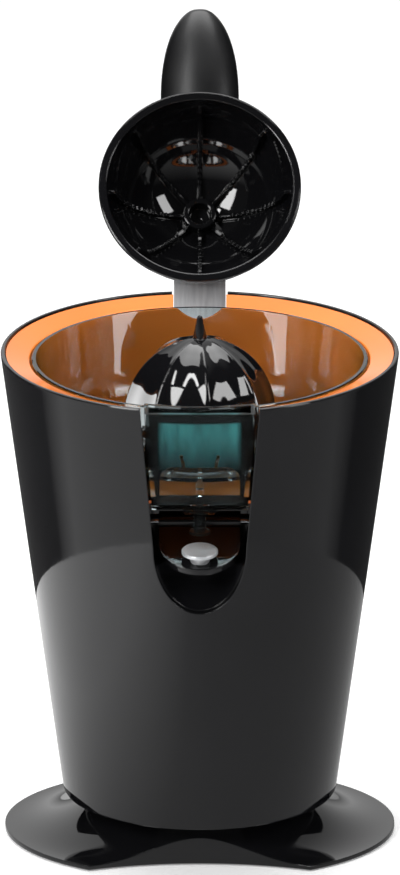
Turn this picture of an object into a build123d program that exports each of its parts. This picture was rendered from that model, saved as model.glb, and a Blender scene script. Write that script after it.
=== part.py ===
from build123d import *
import math
import os

# Electric citrus press. Millimetres, +Z up, table at z = 0, front of the machine towards -Y.
# The origin is on the table under the axis of the reaming cone.

# Housing: a tapered round tub
RIM_R = 95.0
RIM_Z = 240.0
TUB_R = 65.3
TUB_Z = 20.6
TAPER = (RIM_R - TUB_R) / (RIM_Z - TUB_Z)
WALL = 2.4
TUB_FLOOR = 3.4
TUB_HOLE_R = 30.0

# Front window, seen from the front: a trapezoid that ends in a half ellipse
WINDOW_TOP_W = 28.3
WINDOW_LOW_W = 22.0
WINDOW_LOW_Z = 168.0
WINDOW_DROP = 33.0
POCKET_BACK_Y = -46.0
SCOOP_Y = -84.0
SCOOP_TOP_Z = 158.0

# Orange well and the clear container in it
RING_R = 92.3
WELL_R = 81.1
WELL_TOP_Z = 236.0
WELL_FLOOR_Z = 186.0
BOWL_R = 80.3
BOWL_TOP_Z = 236.6
BOWL_Z = 188.0
BOWL_WALL = 2.2
BOX_TOP_Z = 237.6
BOX_TOP_W = 26.2
BOX_LOW_W = 22.6
BOX_TOP_Y = -90.6
BOX_LOW_Y = -84.0
NOZZLE_Y = -74.0
NOZZLE_END_Z = 173.0

# Reaming cone and its spindle
CONE_R = 36.7
CONE_Z = 200.0
CONE_WAIST_Z = 208.0
CONE_TOP_Z = 247.0
CONE_PIN_TIP_Z = 257.5
RIDGES = 8
RIDGE_TURN_DEG = 7.0
# Domed outlines end just short of the axis, in a small flat crown
CROWN_DEG = 86.0
HEX_R = 4.6
SPINDLE_TOP_Z = 234.0
HUB_TOP_Z = 171.0

# Lever: drawn folded over the cone, then turned open about its hinge
HINGE_Y = 85.0
HINGE_Z = 213.0
OPEN_DEG = 128.0
ARM_W = 25.0
ARM_T = 4.0
ARM_Z = 247.0
SLOT_W = 26.6
SLOT_Z = 197.0
DOME_Z = 215.0
DOME_R = 46.8
DOME_LIP_R = 48.9
DOME_DEPTH = 47.0
DOME_WALL = 2.0
GRIP_Z = 250.0
GRIP_ROOT_Y = -57.0
GRIP_TIP_Y = -105.4
GRIP_HALF_W = 19.0
GRIP_HALF_T = 9.0

# Drip stop under the nozzle
DRIP_Y = -50.0
DRIP_Z = 171.0
DRIP_SLOPE = 22.4
DRIP_HALF_W = 19.4
PAD_Y = -76.0
PAD_Z = 165.5
PAD_R = 8.65

# Base
BASE_HALF_X = 93.4
BASE_HALF_Y = 78.4
BASE_Z = 0.8
BASE_EDGE_Z = 2.7
BASE_NECK_R = 50.0
BASE_CUT_Y = -55.3
BASE_CUT_R = 152.7
SCREW_R = 1.5

# Gear train: two stages on one centre distance, so that motor and spindle share an axis
GEAR_CENTRES = 36.0
MOTOR_TEETH = 16
IDLER_TEETH = 64
IDLER_PINION_TEETH = 16
OUTPUT_TEETH = 56
PRESSURE_ANGLE = math.radians(20)
STAGE_1_Z = 146.0
STAGE_2_Z = 155.0
GEAR_T = 7.0
GEARBOX_Z = 140.0
GEARBOX_TOP_Z = 167.0
DECK_T = 3.0

# Motor
MOTOR_Z = 92.0
STACK_T = 26.0
ROTOR_R = 14.6
SHAFT_R = 2.5


def tub_radius(z):
    return TUB_R + TAPER * (z - TUB_Z)


def bowl_radius(z):
    return BOWL_R - TAPER * (BOWL_TOP_Z - z)


def rod(z0, z1, radius, x=0.0, y=0.0):
    shape = Cylinder(radius, z1 - z0, align=(Align.CENTER, Align.CENTER, Align.MIN))
    return Pos(x, y, z0) * shape


def tube(z0, z1, outer, inner, x=0.0, y=0.0):
    return rod(z0, z1, outer, x, y) - rod(z0 - 1, z1 + 1, inner, x, y)


def block(x0, x1, y0, y1, z0, z1):
    return Pos((x0 + x1) / 2, (y0 + y1) / 2, (z0 + z1) / 2) * Box(x1 - x0, y1 - y0, z1 - z0)


def cross_rod(x0, x1, y, z, radius):
    shape = Cylinder(radius, x1 - x0, align=(Align.CENTER, Align.CENTER, Align.MIN))
    return Pos(x0, y, z) * Rot(0, 90, 0) * shape


def spun(points):
    outline = Polyline(*[(r, 0, z) for r, z in points], close=True)
    return revolve(make_face(outline), Axis.Z)


def around(count, radius, start=0.0):
    turns = [math.radians(start + 360 * i / count) for i in range(count)]
    return [(radius * math.cos(a), radius * math.sin(a)) for a in turns]


def joined(shapes):
    result = shapes[0]
    for shape in shapes[1:]:
        result = result + shape
    return result


def front_prism(points, y_back, y_front):
    outline = Polyline(*[(x, y_back, z) for x, z in points], close=True)
    return extrude(make_face(outline), amount=y_back - y_front, dir=(0, -1, 0))


def side_prism(points, half_width):
    outline = Polyline(*[(-half_width, y, z) for y, z in points], close=True)
    return extrude(make_face(outline), amount=2 * half_width, dir=(1, 0, 0))


def window(grow, y_back, y_front):
    slope = (WINDOW_TOP_W - WINDOW_LOW_W) / (RIM_Z - WINDOW_LOW_Z)
    top_z = RIM_Z + 5
    top_w = WINDOW_LOW_W + slope * (top_z - WINDOW_LOW_Z) + grow
    low_w = WINDOW_LOW_W + grow
    sides = [(-top_w, top_z), (-low_w, WINDOW_LOW_Z), (low_w, WINDOW_LOW_Z), (top_w, top_z)]
    plane = Plane(origin=(0, y_back, WINDOW_LOW_Z), x_dir=(1, 0, 0), z_dir=(0, -1, 0))
    scoop = extrude(plane * Ellipse(low_w, WINDOW_DROP + grow), amount=y_back - y_front)
    return front_prism(sides, y_back, y_front) + scoop


def inside_tub(gap):
    low, high = TUB_Z + TUB_FLOOR, RIM_Z + 20
    inset = WALL + gap
    return spun([(0, low), (tub_radius(low) - inset, low), (tub_radius(high) - inset, high), (0, high)])


def outer_housing():
    low, high = TUB_Z, RIM_Z
    shell = spun(
        [
            (TUB_HOLE_R, low),
            (TUB_R - 1.6, low),
            (TUB_R + 0.1, low + 1.4),
            (RIM_R - 0.2, high - 1.0),
            (RIM_R - 0.8, high),
            (RIM_R - WALL + 0.3, high),
            (RIM_R - WALL - 0.1, high - 1.0),
            (tub_radius(low + TUB_FLOOR) - WALL, low + TUB_FLOOR),
            (TUB_HOLE_R, low + TUB_FLOOR),
        ]
    )
    for x, y in around(4, 40, 45):
        shell = shell + tube(low + TUB_FLOOR, low + 12, 3.6, SCREW_R + 0.05, x, y)
        shell = shell - rod(low - 1, low + 12, SCREW_R + 0.05, x, y)
    shell = shell - window(0, -40, -120)
    shell = shell - block(-SLOT_W / 2, SLOT_W / 2, 60, 110, SLOT_Z, RIM_Z + 5)
    return shell - Pos(0, 60, 38) * Rot(-90, 0, 0) * Cylinder(5.0, 40)


def orange_liner():
    outer = WELL_R + 1.5
    low_in = WELL_R - TAPER * (WELL_TOP_Z - WELL_FLOOR_Z)
    well = spun(
        [
            (RING_R, 239.0),
            (WELL_R, WELL_TOP_Z),
            (low_in, WELL_FLOOR_Z),
            (10.0, WELL_FLOOR_Z),
            (10.0, 199.0),
            (8.6, 199.0),
            (8.6, WELL_FLOOR_Z - 2),
            (low_in + 1.4, WELL_FLOOR_Z - 2),
            (outer, WELL_TOP_Z - 1.3),
            (RING_R - 1.7, 237.0),
            (RING_R - 2.4, 231.0),
            (RING_R - 1.0, 231.0),
        ]
    )
    well = well - window(0.2, -62, -120)
    well = well - (window(2.4, -80, -120) & block(-60, 60, -130, -80, 200, 236.8))
    well = well - block(-SLOT_W / 2 + 0.6, SLOT_W / 2 - 0.6, 80.4, 110, SLOT_Z, RIM_Z + 5)
    for x, y in around(3, 47, 90):
        well = well - rod(WELL_FLOOR_Z - 4, WELL_FLOOR_Z + 1, SCREW_R + 0.2, x, y)
    return well


def spout_niche():
    shell = window(2.0, POCKET_BACK_Y + 2, -120) & inside_tub(0.05)
    floor_z = SCOOP_TOP_Z
    pocket = window(0, POCKET_BACK_Y, -120) & block(-60, 60, -130, 0, floor_z, RIM_Z + 9)
    arc = EllipticalCenterArc((0, WINDOW_LOW_Z), WINDOW_LOW_W, WINDOW_DROP, 270, arc_size=90)
    half = make_face(arc + Polyline(arc @ 1, (0, WINDOW_LOW_Z), arc @ 0))
    scoop = Pos(0, SCOOP_Y, 0) * revolve(Plane.XZ * half, Axis.Z)
    shell = shell - pocket - scoop
    # Above the well's floor the sides stop at the well; below it a roof closes the pocket.
    roof_z = WELL_FLOOR_Z - 2.2
    above = block(-60, 60, -62.2, 0, roof_z, RIM_Z + 9)
    shell = shell - above
    well = spun([(0, roof_z), (76.2, roof_z), (83.0, 234.2), (91.6, 236.7), (97, 236.7), (97, 260), (0, 260)])
    shell = shell - well
    for side in (-1, 1):
        shell = shell - cross_rod(side * 24.5 - 5, side * 24.5 + 5, DRIP_Y, DRIP_Z, 1.3)
    return shell


def juice_container():
    low_r = bowl_radius(BOWL_Z)
    outer = spun([(0, BOWL_Z), (low_r, BOWL_Z), (BOWL_R, BOWL_TOP_Z), (0, BOWL_TOP_Z)])
    floor_z = BOWL_Z + 2
    inner = spun(
        [
            (12.9, floor_z),
            (bowl_radius(floor_z) - BOWL_WALL, floor_z),
            (bowl_radius(250) - BOWL_WALL, 250),
            (0, 250),
            (0, 204),
            (12.9, 204),
        ]
    )
    box = spout_box(0)
    hollow = spout_box(2.0)
    bowl = (outer + box) - inner - (hollow - outer)
    bowl = bowl - rod(BOWL_Z - 1, 210, 11.0)
    # The front wall of the bowl is a splash wall: juice passes under it into the spout box.
    gate = Pos(0, -73, 198.2) * Box(38, 16, 16.4)
    gate = fillet(gate.edges().filter_by(Axis.Y).group_by(Axis.Z)[-1], 7)
    bowl = bowl - gate
    for side in (-1, 1):
        bowl = bowl - Pos(side * 8.2, -78, 209.5) * Rot(0, side * 12, 0) * Box(1.6, 10, 6.5)
    nozzle = rod(NOZZLE_END_Z, BOWL_Z, 2.8, 0, NOZZLE_Y)
    nozzle = nozzle + rod(NOZZLE_END_Z, NOZZLE_END_Z + 1.5, 5.0, 0, NOZZLE_Y)
    nozzle = nozzle + rod(BOWL_Z - 4, BOWL_Z, 4.6, 0, NOZZLE_Y)
    bowl = bowl + nozzle
    for side in (-1, 1):
        ear = Pos(side * 5.6, NOZZLE_Y, BOWL_Z - 3.4) * Rot(90, 0, 0) * Cylinder(2.2, 1.6)
        bowl = bowl + ear
    return bowl - rod(NOZZLE_END_Z - 1, floor_z + 1, 1.9, 0, NOZZLE_Y)


def spout_box(inset):
    top_z = BOX_TOP_Z + inset * 4
    spread = (BOX_TOP_W - BOX_LOW_W) / (BOX_TOP_Z - BOWL_Z)
    top_w = BOX_LOW_W + spread * (top_z - BOWL_Z) - inset
    low_w = BOX_LOW_W - inset
    low_z = BOWL_Z + inset
    lean = (BOX_TOP_Y - BOX_LOW_Y) / (BOX_TOP_Z - BOWL_Z)
    top_y = BOX_LOW_Y + lean * (top_z - BOWL_Z) + inset
    front = [(-top_w, top_z), (-low_w, low_z), (low_w, low_z), (top_w, top_z)]
    side = [(-66, low_z), (BOX_LOW_Y + inset, low_z), (top_y, top_z), (-66, top_z)]
    return front_prism(front, -60, -100) & side_prism(side, 40)


def pulp_sieve():
    sieve = rod(194.0, 195.6, 60.0) - rod(190, 200, 14.6)
    sieve = sieve + tube(194.0, 198.6, 60.0, 58.6) + tube(194.0, 200.0, 15.8, 14.6)
    feet = [rod(190.0, 194.5, 2.0, x, y) for x, y in around(6, 57.5, 30)]
    sieve = joined([sieve, *feet])
    for i in range(24):
        sieve = sieve - Rot(0, 0, 15 * i) * Pos(45.5, 0, 194.8) * Box(17, 1.8, 4)
        sieve = sieve - Rot(0, 0, 15 * i) * Pos(26.5, 0, 194.8) * Box(12, 1.4, 4)
    return sieve


def dome_face(radius, height, low_z, foot_z):
    # Half an elliptic dome standing on a straight skirt, in the XZ plane.
    steps = [math.radians(CROWN_DEG * i / 7) for i in range(8)]
    curve = Spline([(radius * math.cos(a), low_z + height * math.sin(a)) for a in steps])
    start, crown = curve @ 0, curve @ 1
    edges = Polyline((crown.X, crown.Y), (0, crown.Y), (0, foot_z), (radius, foot_z), (start.X, start.Y))
    return Plane.XZ * make_face(curve + edges)


def cone_profile(grow):
    return dome_face(CONE_R + grow, CONE_TOP_Z - CONE_WAIST_Z + grow, CONE_WAIST_Z, CONE_Z)


def reaming_cone():
    body = revolve(cone_profile(-2.6), Axis.Z)
    ridge = extrude(cone_profile(0) & (Plane.XZ * Pos(20, 229) * Rectangle(40, 60)), amount=1.3, both=True)
    for i in range(RIDGES):
        body = body + Rot(0, 0, RIDGE_TURN_DEG + i * 360 / RIDGES) * ridge
    body = body + tube(CONE_Z, CONE_Z + 2.4, CONE_R + 0.2, CONE_R - 4)
    point = spun([(0, 240), (3.3, 240), (3.3, 246.5), (1.0, CONE_PIN_TIP_Z), (0, CONE_PIN_TIP_Z)])
    body = body + point
    hollow = revolve(cone_profile(-5.2), Axis.Z) - rod(190, 260, 8.4)
    body = body - hollow - rod(190, 208.5, 30.0)
    socket = extrude(Pos(0, 0, 190) * RegularPolygon(HEX_R + 0.06, 6), amount=SPINDLE_TOP_Z + 1 - 190)
    return body - socket


def folded_arm():
    path = [(HINGE_Y + 2, HINGE_Z), (HINGE_Y + 2, ARM_Z + ARM_T), (34.0, ARM_Z + ARM_T)]
    back = [(34.0, ARM_Z), (HINGE_Y - 2, ARM_Z), (HINGE_Y - 2, HINGE_Z)]
    arm = side_prism(path + back, ARM_W / 2)
    bends = arm.edges().filter_by(Axis.X).filter_by_position(Axis.Y, HINGE_Y - 3, HINGE_Y + 3)
    outer = [e for e in bends if e.center().Z > ARM_Z + 1]
    inner = [e for e in bends if ARM_Z - 1 < e.center().Z < ARM_Z + 1]
    arm = fillet(outer, 10)
    inner = [
        e
        for e in arm.edges().filter_by(Axis.X)
        if abs(e.center().Z - ARM_Z) < 0.2 and abs(e.center().Y - HINGE_Y + 2) < 0.2
    ]
    arm = fillet(inner, 6)
    arm = arm + cross_rod(-ARM_W / 2, ARM_W / 2, HINGE_Y, HINGE_Z, 3.9)
    arm = arm - cross_rod(-20, 20, HINGE_Y, HINGE_Z, 2.3)
    for side in (-1, 1):
        arm = arm - rod(ARM_Z + 0.8, ARM_Z + 9, SCREW_R + 0.05, side * 7, 42)
    # The strip is trimmed to the outside of the dome.
    return arm - dome_outside(0.0)


def dome_outside(grow):
    face = dome_face(DOME_R + grow, DOME_DEPTH + grow - 1.0, DOME_Z + 1.0, DOME_Z)
    return Rot(0, 0, 180 / RIDGES) * revolve(face, Axis.Z)


def folded_dome():
    shell = dome_outside(0) + rod(DOME_Z, DOME_Z + 2.6, DOME_LIP_R)
    boss = block(-12.4, 12.4, 24, 50, ARM_Z + ARM_T, ARM_Z + ARM_T + 7)
    stub = block(-9, 9, -72, -24, GRIP_Z - 4, GRIP_Z + 4)
    cavity = dome_outside(-DOME_WALL) + rod(DOME_Z - 1, DOME_Z + 0.1, DOME_R - DOME_WALL)
    shell = shell + boss + stub
    for side in (-1, 1):
        shell = shell - rod(ARM_Z, ARM_Z + 20, SCREW_R + 0.05, side * 7, 42)
        shell = shell - rod(ARM_Z + ARM_T + 4.5, ARM_Z + 20, 3.1, side * 7, 42)
    shell = shell - cavity
    rib = block(6.5, 60, -0.9, 0.9, DOME_Z, DOME_Z + 60) - dome_outside(-DOME_WALL - 3.4)
    rib = rib & dome_outside(-DOME_WALL / 2) & block(0, 60, -5, 5, DOME_Z + 7, 300)
    for i in range(RIDGES):
        shell = shell + Rot(0, 0, i * 360 / RIDGES) * rib
    hub = tube(DOME_Z + 37.5, DOME_Z + 45.9, 8.0, 5.2)
    for i in range(2):
        shell = shell - rod(GRIP_Z - 1, GRIP_Z + 9, SCREW_R + 0.05, 0, -63 + 10 * i)
    return shell + hub


def grip_body():
    half = GRIP_HALF_W
    reach = GRIP_ROOT_Y - GRIP_TIP_Y
    sections = []
    # Elliptic sections along the grip; the plan is half an ellipse, slightly squared.
    for share in (-0.62, -0.3, 0.0, 0.3, 0.55, 0.75, 0.9, 0.98):
        swell = (1 - max(share, 0) ** 2.3) ** 0.5
        width = half * swell * (1 - 0.18 * max(-share, 0))
        depth = GRIP_HALF_T * (0.25 + 0.75 * swell)
        plane = Plane(origin=(0, GRIP_ROOT_Y - reach * share, GRIP_Z), x_dir=(1, 0, 0), z_dir=(0, -1, 0))
        sections.append(plane * Ellipse(width, depth))
    return loft(sections)


def folded_grip(upper):
    body = grip_body() - dome_outside(0.15)
    body = body - block(-9.1, 9.1, -72.2, -20, GRIP_Z - 4.1, GRIP_Z + 4.1)
    low, high = (GRIP_Z, GRIP_Z + 30) if upper else (GRIP_Z - 30, GRIP_Z)
    body = body & block(-40, 40, -120, 0, low, high)
    if upper:
        for i in range(2):
            body = body - rod(GRIP_Z, GRIP_Z + 20, SCREW_R + 0.1, 0, -63 + 10 * i)
            body = body - rod(GRIP_Z + 6.0, GRIP_Z + 20, 3.1, 0, -63 + 10 * i)
    return max(body.solids(), key=lambda solid: solid.volume)


def opened(shape):
    there = Pos(0, HINGE_Y, HINGE_Z) * Rot(-OPEN_DEG, 0, 0) * Pos(0, -HINGE_Y, -HINGE_Z)
    return there * shape


def screw(z_head, length, x, y, up=True, head_r=2.9, head_t=1.4):
    sign = 1 if up else -1
    ends = sorted((z_head, z_head - sign * length))
    heads = sorted((z_head, z_head + sign * head_t))
    body = rod(ends[0], ends[1], SCREW_R, x, y) + rod(heads[0], heads[1], head_r, x, y)
    slot_z = z_head + sign * head_t
    return body - Pos(x, y, slot_z) * Box(3.6, 0.8, 1.2) - Pos(x, y, slot_z) * Box(0.8, 3.6, 1.2)


def drip_stop():
    reach = (PAD_Y - DRIP_Y) * -1 + 10.2
    plate = block(-DRIP_HALF_W, DRIP_HALF_W, -reach + DRIP_HALF_W, 0, -2.6, 0)
    plate = plate + rod(-2.6, 0, DRIP_HALF_W, 0, -reach + DRIP_HALF_W)
    rim = tube(-0.1, 0.8, DRIP_HALF_W, DRIP_HALF_W - 1.4, 0, -reach + DRIP_HALF_W)
    rim = rim & block(-30, 30, -60, -reach + DRIP_HALF_W, -1, 2)
    plate = plate + rim
    plate = Pos(0, DRIP_Y, DRIP_Z) * Rot(DRIP_SLOPE, 0, 0) * plate
    barrel = cross_rod(-DRIP_HALF_W, DRIP_HALF_W, DRIP_Y, DRIP_Z, 2.6)
    return plate + barrel - cross_rod(-30, 30, DRIP_Y, DRIP_Z, 1.26)


def drip_pad(tongue):
    disc = rod(-1.6, 0, PAD_R)
    disc = chamfer(disc.edges().group_by(Axis.Z)[-1], 0.5)
    pad = Pos(0, PAD_Y, PAD_Z) * Rot(7, 0, 0) * (disc + rod(-8, -1.6, 4.7))
    pad = pad - tongue - Pos(0, PAD_Y, PAD_Z) * Rot(DRIP_SLOPE, 0, 0) * block(-9, 9, -9, 9, -20, -6.4)
    return max(pad.solids(), key=lambda solid: solid.volume)


def hinge_bracket():
    bracket = block(-17.2, 17.2, 79.9, 93, SLOT_Z + 1.5, 230.3)
    bracket = bracket - block(-13.0, 13.0, 70, 100, SLOT_Z + 5, 240)
    well = spun([(0, 180), (75.5, 180), (83.1, 236.2), (0, 236.2)])
    bracket = (bracket & inside_tub(0.1)) - well
    return bracket - cross_rod(-18, 18, HINGE_Y, HINGE_Z, 2.0)


def base_level(share):
    half_x = BASE_HALF_X + (BASE_NECK_R - BASE_HALF_X) * share
    half_y = BASE_HALF_Y + (BASE_NECK_R - BASE_HALF_Y) * share
    z = BASE_EDGE_Z + (TUB_Z - BASE_EDGE_Z) * share**2.4
    return half_x, half_y, z


def base_loft(shares, inset, drop, bottom_z):
    half_x, half_y, _ = base_level(shares[0])
    sections = [Pos(0, 0, bottom_z) * Ellipse(half_x - inset, half_y - inset)]
    for share in shares:
        half_x, half_y, z = base_level(share)
        sections.append(Pos(0, 0, z - drop) * Ellipse(half_x - inset, half_y - inset))
    return loft(sections, ruled=True)


def base_slab(share, inset, z0, z1):
    half_x, half_y, _ = base_level(share)
    return extrude(Pos(0, 0, z0) * Ellipse(half_x - inset, half_y - inset), amount=z1 - z0)


def base_plate():
    cut = rod(-5, 40, BASE_CUT_R, 0, BASE_CUT_Y - BASE_CUT_R)
    body = base_loft((0, 0.15, 0.3, 0.45, 0.6, 0.7, 0.8, 0.9, 1), 0, 0, BASE_Z)
    hollow = base_loft((0.4, 0.55, 0.7, 0.8, 0.9), 1.5, 2.3, BASE_Z - 1)
    hollow = hollow - rod(-5, 40, BASE_CUT_R + 2.4, 0, BASE_CUT_Y - BASE_CUT_R)
    for x in (-45, 45):
        for y in (-18, 25):
            hollow = hollow - rod(2.3, 20, 3.4, x, y)
    body = body - cut - hollow - rod(0, 40, 28)
    for x, y in around(4, 40, 45):
        body = body - rod(0, 40, SCREW_R + 0.1, x, y) - rod(0, 17.5, 3.2, x, y)
    for x in (-45, 45):
        for y in (-18, 25):
            body = body - rod(0, 10, SCREW_R + 0.05, x, y)
    for x, y in foot_places():
        body = body - rod(0, 1.6, 6.0, x, y)
    return body


def foot_places():
    return [(x, y) for x in (-66, 66) for y in (-42, 42)]


def rubber_feet():
    # Four feet in the rim of the base, and a thin pad under the middle of the cover.
    return group([rod(0, 1.6, 5.95, x, y) for x, y in foot_places()] + [rod(0, BASE_Z, 9.0)])


def bottom_cover():
    cover = base_slab(0.4, 1.7, BASE_Z, 2.2)
    cover = cover - rod(-5, 40, BASE_CUT_R + 2.6, 0, BASE_CUT_Y - BASE_CUT_R)
    for x in (-45, 45):
        for y in (-18, 25):
            cover = cover - rod(0, 5, SCREW_R + 0.1, x, y) - rod(0, 1.9, 3.0, x, y)
    return cover


def involute(angle):
    return math.tan(angle) - angle


def gear(teeth, bottom, top, bore, phase_deg, centre_x, module):
    pitch = module * teeth / 2
    base = pitch * math.cos(PRESSURE_ANGLE)
    tip, root = pitch + 0.8 * module, pitch - 1.08 * module
    start = max(base, root)
    flank = [start, start + 0.35 * (tip - start), start + 0.7 * (tip - start), tip]
    half_pitch = math.pi / (2 * teeth) - 0.08 / pitch + involute(PRESSURE_ANGLE)
    rise = [(root, half_pitch)] if root < base else []
    rise += [(r, half_pitch - involute(math.acos(min(1, base / r)))) for r in flank]
    outline = []
    for i in range(teeth):
        middle = 2 * math.pi * i / teeth + math.radians(phase_deg)
        outline += [(r, middle - a) for r, a in rise] + [(r, middle + a) for r, a in reversed(rise)]
    points = [(centre_x + r * math.cos(a), r * math.sin(a), bottom) for r, a in outline]
    wheel = extrude(make_face(Polyline(*points, close=True)), amount=top - bottom, dir=(0, 0, 1))
    return wheel - rod(bottom - 1, top + 1, bore, centre_x) if bore else wheel


def stage_module(small, large):
    return 2 * GEAR_CENTRES / (small + large)


def output_gear():
    module = stage_module(IDLER_PINION_TEETH, OUTPUT_TEETH)
    wheel = gear(OUTPUT_TEETH, STAGE_2_Z, STAGE_2_Z + GEAR_T, 0, 180 / OUTPUT_TEETH, 0, module)
    wheel = wheel + rod(STAGE_2_Z + GEAR_T, HUB_TOP_Z, 8.0)
    bore = extrude(Pos(0, 0, STAGE_2_Z - 1) * RegularPolygon(HEX_R + 0.06, 6), amount=30)
    for x, y in around(5, 17.5):
        wheel = wheel - rod(STAGE_2_Z - 1, STAGE_2_Z + GEAR_T + 1, 5.0, x, y)
    return wheel - bore


def idler_gear():
    module_1 = stage_module(MOTOR_TEETH, IDLER_TEETH)
    module_2 = stage_module(IDLER_PINION_TEETH, OUTPUT_TEETH)
    top = STAGE_1_Z + GEAR_T
    wheel = gear(IDLER_TEETH, STAGE_1_Z, top, 3.05, 180 / IDLER_TEETH, GEAR_CENTRES, module_1)
    return wheel + gear(IDLER_PINION_TEETH, top, top + 9.5, 3.05, 0, GEAR_CENTRES, module_2)


def motor_pinion():
    module = stage_module(MOTOR_TEETH, IDLER_TEETH)
    return gear(MOTOR_TEETH, STAGE_1_Z - 1, STAGE_1_Z + GEAR_T - 0.5, SHAFT_R, 0, 0, module)


def gearbox_plan(radius, z0, z1):
    return rod(z0, z1, radius) + rod(z0, z1, radius, GEAR_CENTRES)


def gearbox_screw_places():
    return [(-26, 26), (-26, -26), (64, 26), (64, -26)]


def gearbox_ears(z0, z1):
    return [rod(z0, z1, 4.5, x, y) for x, y in gearbox_screw_places()]


def gearbox_base():
    low, wall_top = GEARBOX_Z, GEARBOX_TOP_Z - DECK_T
    body = gearbox_plan(34, low - DECK_T, wall_top) + rod(low - DECK_T, low, 42)
    body = joined([body, *gearbox_ears(low - DECK_T, wall_top)]) - gearbox_plan(31.5, low, wall_top + 1)
    body = body - rod(low - 5, low + 1, 6.0)
    body = body + rod(low, STAGE_1_Z - 0.4, 5.0, GEAR_CENTRES) - rod(low - 5, 170, 3.0, GEAR_CENTRES)
    for x, y in gearbox_screw_places():
        body = body - rod(low + 6, wall_top + 1, SCREW_R + 0.05, x, y)
    for x, y in motor_screw_places():
        body = body - rod(low - 5, low + 1, SCREW_R + 0.05, x, y)
    return body


def gearbox_cover():
    low, top = GEARBOX_TOP_Z - DECK_T, GEARBOX_TOP_Z
    cover = joined([gearbox_plan(34, low, top), rod(low, top, 43), *gearbox_ears(low, top)])
    cover = cover + rod(low, 170, 12.0) - rod(low - 1, 171, 9.5)
    cover = cover - rod(low - 1, top + 1, 3.0, GEAR_CENTRES)
    for x, y in around(3, 47, 90):
        cover = cover + rod(low, top, 7.0, x, y) + rod(top, WELL_FLOOR_Z - 2, 4.5, x, y)
        cover = cover - rod(top + 4, WELL_FLOOR_Z, SCREW_R + 0.05, x, y)
    for x, y in gearbox_screw_places():
        cover = cover - rod(low - 1, top + 1, SCREW_R + 0.1, x, y)
    return cover


def motor_screw_places():
    return [(x, y) for x in (-26, 26) for y in (-26, 26)]


def slot_places():
    return around(8, 21.5, 22.5)


def motor_stator():
    top = MOTOR_Z + STACK_T
    stack = block(-33, 33, -33, 33, MOTOR_Z, top)
    stack = fillet(stack.edges().filter_by(Axis.Z), 9) - rod(MOTOR_Z - 1, top + 1, ROTOR_R + 0.6)
    for x, y in slot_places():
        stack = stack - rod(MOTOR_Z - 1, top + 1, 3.6, x, y)
    for x, y in motor_screw_places():
        stack = stack - rod(MOTOR_Z - 1, top + 1, SCREW_R + 0.1, x, y)
    return stack


def motor_windings():
    top = MOTOR_Z + STACK_T
    ends = tube(MOTOR_Z - 8, MOTOR_Z, 26, 17.5) + tube(top, top + 8, 26, 17.5)
    return joined([ends, *[rod(MOTOR_Z - 1, top + 1, 3.4, x, y) for x, y in slot_places()]])


def motor_bracket():
    low, high = MOTOR_Z - 13, MOTOR_Z - 10
    plate = block(-33, 33, -33, 33, low, high)
    plate = fillet(plate.edges().filter_by(Axis.Z), 9) - rod(low - 1, high + 1, 6.0)
    for x, y in around(4, 20, 0):
        plate = plate - rod(low - 1, high + 1, 5.0, x, y)
    for x, y in motor_screw_places():
        plate = plate + rod(high, MOTOR_Z, 4.0, x, y) - rod(low - 1, MOTOR_Z + 1, SCREW_R + 0.1, x, y)
    return plate


def motor_spacers():
    top, deck = MOTOR_Z + STACK_T, GEARBOX_Z - DECK_T
    return [tube(top, deck, 3.8, SCREW_R + 0.1, x, y) for x, y in motor_screw_places()]


def drive_spindle():
    lower = extrude(Pos(0, 0, 158) * RegularPolygon(HEX_R, 6), amount=18)
    upper = extrude(Pos(0, 0, 203) * RegularPolygon(HEX_R, 6), amount=SPINDLE_TOP_Z - 203)
    return lower + rod(174, 204, 5.0) + upper


def return_spring():
    path = Helix(pitch=2.35, height=7.6, radius=10.7)
    start = Plane(origin=path @ 0, z_dir=path % 0)
    coil = sweep(start * Circle(0.55), path, is_frenet=True)
    return Pos(0, 0, 170.7) * coil


def switch_body():
    case = block(-31, -12.2, -3.2, 3.2, GEARBOX_TOP_Z, 174.5)
    return case - rod(168.0, 176, 1.06, -14.2, 0)


def cord_grommet(housing):
    def ring(y0, y1, radius):
        shape = Cylinder(radius, y1 - y0, align=(Align.CENTER, Align.CENTER, Align.MIN))
        return Pos(0, y0, 38) * Rot(-90, 0, 0) * shape

    grommet = ring(62.5, 71.5, 4.9) + ring(67.2, 70.2, 7.6) + ring(63.0, 65.0, 6.6)
    grommet = grommet - ring(60, 75, 3.0) - housing
    return max(grommet.solids(), key=lambda solid: solid.volume)


def lever_pieces():
    dome = folded_dome()
    arm = folded_arm()
    dome_screws = [screw(ARM_Z + ARM_T + 4.5, 7.2, side * 7, 42) for side in (-1, 1)]
    grip_screws = [screw(GRIP_Z + 6.0, 6.6, 0, -63 + 10 * i, head_r=2.8) for i in range(2)]
    bushes = [
        cross_rod(x, x + 5, HINGE_Y, HINGE_Z, 2.3) - cross_rod(x - 1, x + 6, HINGE_Y, HINGE_Z, 2.05)
        for x in (-ARM_W / 2, ARM_W / 2 - 5)
    ]
    folded = {
        "press_dome": dome,
        "lever_arm": arm,
        "handle_upper_shell": folded_grip(True),
        "handle_lower_shell": folded_grip(False),
        "dome_screws": Compound(children=[s.solid() for s in dome_screws]),
        "handle_screws": Compound(children=[s.solid() for s in grip_screws]),
        "hinge_bushes": Compound(children=[s.solid() for s in bushes]),
    }
    return {name: opened(shape) for name, shape in folded.items()}


def group(shapes):
    return Compound(children=[shape.solid() for shape in shapes])


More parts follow.
